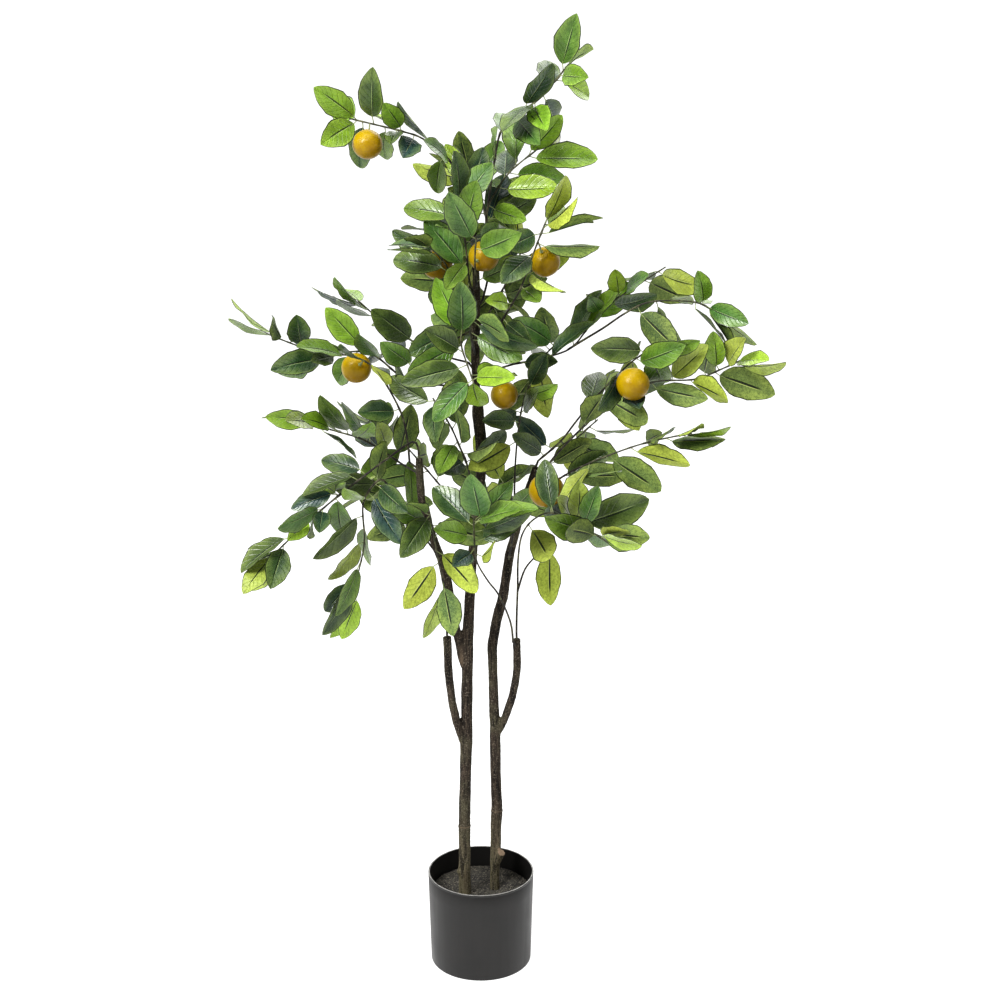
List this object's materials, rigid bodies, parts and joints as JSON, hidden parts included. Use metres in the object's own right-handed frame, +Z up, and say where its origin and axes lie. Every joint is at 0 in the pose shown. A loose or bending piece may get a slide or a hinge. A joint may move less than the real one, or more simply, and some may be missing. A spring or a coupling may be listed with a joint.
{
  "type": "artificial potted citrus tree",
  "caption": "Artificial citrus tree with bare wood trunks in a plain round pot, wire branches with leaves, and round yellow fruits.",
  "frame": {"origin": "middle of the pot's flat base", "axes": "+Z up along the trunks, the front of the tree faces -Y, +X to the right as seen from the front"},
  "size_m": [0.6542, 0.38, 1.2138],
  "materials": {
    "pot": "smooth semi-matt dark grey moulded plastic",
    "filling": "rough dark cement-like filling",
    "wood": "bare dried wood with dark brown bark",
    "leaf": "coated leaf cloth with a soft gloss, on plastic stalks and wire",
    "fruit": "painted foam with a soft sheen"
  },
  "bodies": {
    "root": {"pot": "pot", "filling": "filling", "trunk_left": "wood", "trunk_right": "wood", "spray_crown_left": "leaf", "spray_crown_side": "leaf", "spray_left_ball_high": "leaf", "spray_crown_right": "leaf", "spray_front_ball": "leaf", "spray_right_ball": "leaf", "spray_left_high": "leaf", "spray_left_long": "leaf", "spray_left_ball_low": "leaf", "spray_left_spread": "leaf", "spray_left_low_long": "leaf", "spray_left_hanging": "leaf", "spray_front_left": "leaf", "spray_front_left_low": "leaf", "spray_front_right": "leaf", "spray_slender": "leaf", "spray_right_ball_twig": "leaf", "spray_right_far": "leaf", "spray_right_low": "leaf", "spray_right_top": "leaf", "spray_lower_right": "leaf", "spray_centre_fan": "leaf", "spray_left_stub_twig": "leaf", "spray_left_inner": "leaf", "spray_back_crown": "leaf", "spray_back_upper_left": "leaf", "spray_back_upper_right": "leaf", "spray_back_centre": "leaf", "spray_back_right": "leaf", "spray_back_left": "leaf", "spray_back_low": "leaf", "spray_back_low_left": "leaf", "fruit_crown_left": "fruit", "fruit_left_high": "fruit", "fruit_front": "fruit", "fruit_right_high": "fruit", "fruit_left_low": "fruit", "fruit_centre": "fruit", "fruit_right": "fruit", "fruit_low_right": "fruit"}
  },
  "joints": []
}
